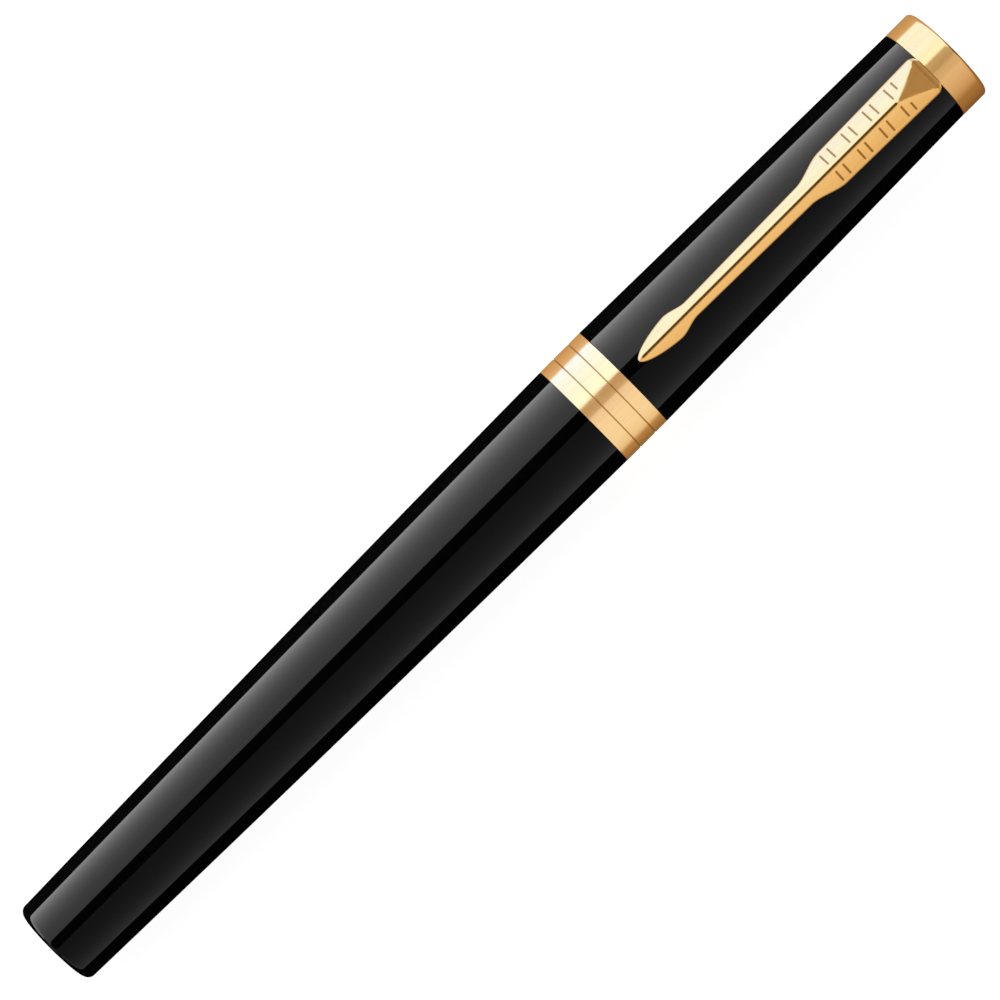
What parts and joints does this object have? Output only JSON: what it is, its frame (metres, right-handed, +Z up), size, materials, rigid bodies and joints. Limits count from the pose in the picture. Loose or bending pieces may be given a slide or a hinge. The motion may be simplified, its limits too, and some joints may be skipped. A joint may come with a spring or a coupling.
{
  "type": "rollerball pen",
  "caption": "Capped rollerball pen: tapered lacquered barrel, snap cap with sprung pocket clip and gilt band, screw-off grip section and a long refill.",
  "frame": {"origin": "middle of the pen's box, on the surface the pen lies on with its clip up", "axes": "+X along the pen from the closed end of the barrel to the cap's crown, +Z up through the clip"},
  "size_m": [0.138, 0.0136, 0.0157],
  "materials": {
    "black_lacquer": "deep black gloss lacquer on brass",
    "gold_plate": "polished warm gold plate",
    "brass": "turned, unplated",
    "black_resin": "satin black resin",
    "inner_plastic": "moulded, dull",
    "steel": "bright drawn steel",
    "carbide": "ground carbide",
    "soft_seal": "matte",
    "refill_shell": "light grey, glossy",
    "refill_plastic": "black, moulded",
    "ink_fibre": "fibre soaked in black ink"
  },
  "bodies": {
    "barrel": {"barrel_tube": "black_lacquer", "barrel_liner": "inner_plastic", "thread_bush": "brass", "spring_seat": "inner_plastic", "refill_spring": "steel"},
    "washer": {"section_washer": "soft_seal"},
    "section": {"section_coupler": "brass", "section_trim_ring": "gold_plate", "section_grip": "black_resin", "section_front_ring": "gold_plate", "section_nose": "gold_plate"},
    "snap_ring": {"cap_snap_ring": "steel"},
    "cap": {"cap_tube": "black_lacquer", "cap_band": "gold_plate", "cap_inner": "inner_plastic", "cap_seal": "soft_seal", "crown": "gold_plate", "crown_disc": "black_lacquer", "crown_screw": "steel", "clip_carrier": "inner_plastic"},
    "clip": {"clip": "gold_plate"},
    "refill": {"refill_tube": "refill_shell", "refill_plug": "refill_plastic", "refill_reservoir": "ink_fibre", "refill_wick": "ink_fibre", "refill_nose": "refill_plastic", "refill_tip": "steel"},
    "ball": {"writing_ball": "carbide"}
  },
  "joints": [
    {"name": "section_travel", "type": "slide", "parent": "barrel", "child": "washer", "axis": [1, 0, 0], "range_m": [0, 0.0066]},
    {"name": "section_unscrew", "type": "hinge", "parent": "washer", "child": "section", "pos_m": [0.01274, 0, 0.00678], "axis": [1, 0, 0], "range_deg": [0, 2880]},
    {"name": "cap_turn", "type": "hinge", "parent": "section", "child": "snap_ring", "pos_m": [0.0166, 0, 0.00678], "axis": [1, 0, 0], "continuous": true},
    {"name": "cap_pull", "type": "slide", "parent": "snap_ring", "child": "cap", "axis": [1, 0, 0], "range_m": [0, 0.045]},
    {"name": "clip_flex", "type": "hinge", "parent": "cap", "child": "clip", "pos_m": [0.063, 0, 0.01248], "axis": [0, 1, 0], "range_deg": [0, 4.5], "stiffness_Nm_per_rad": 2, "springref_deg": -1.15},
    {"name": "refill_press", "type": "slide", "parent": "section", "child": "refill", "axis": [1, 0, 0], "range_m": [-0.0012, 0], "stiffness_N_per_m": 500, "springref_m": 0.001, "deforming": ["refill_spring"]},
    {"name": "ball_roll", "type": "hinge", "parent": "refill", "child": "ball", "pos_m": [0.05015, 0, 0.00678], "axis": [0, 1, 0], "continuous": true}
  ],
  "couplings": [
    {"joint": "section_travel", "follows": "section_unscrew", "m_per_rad": 0.00012732}
  ]
}
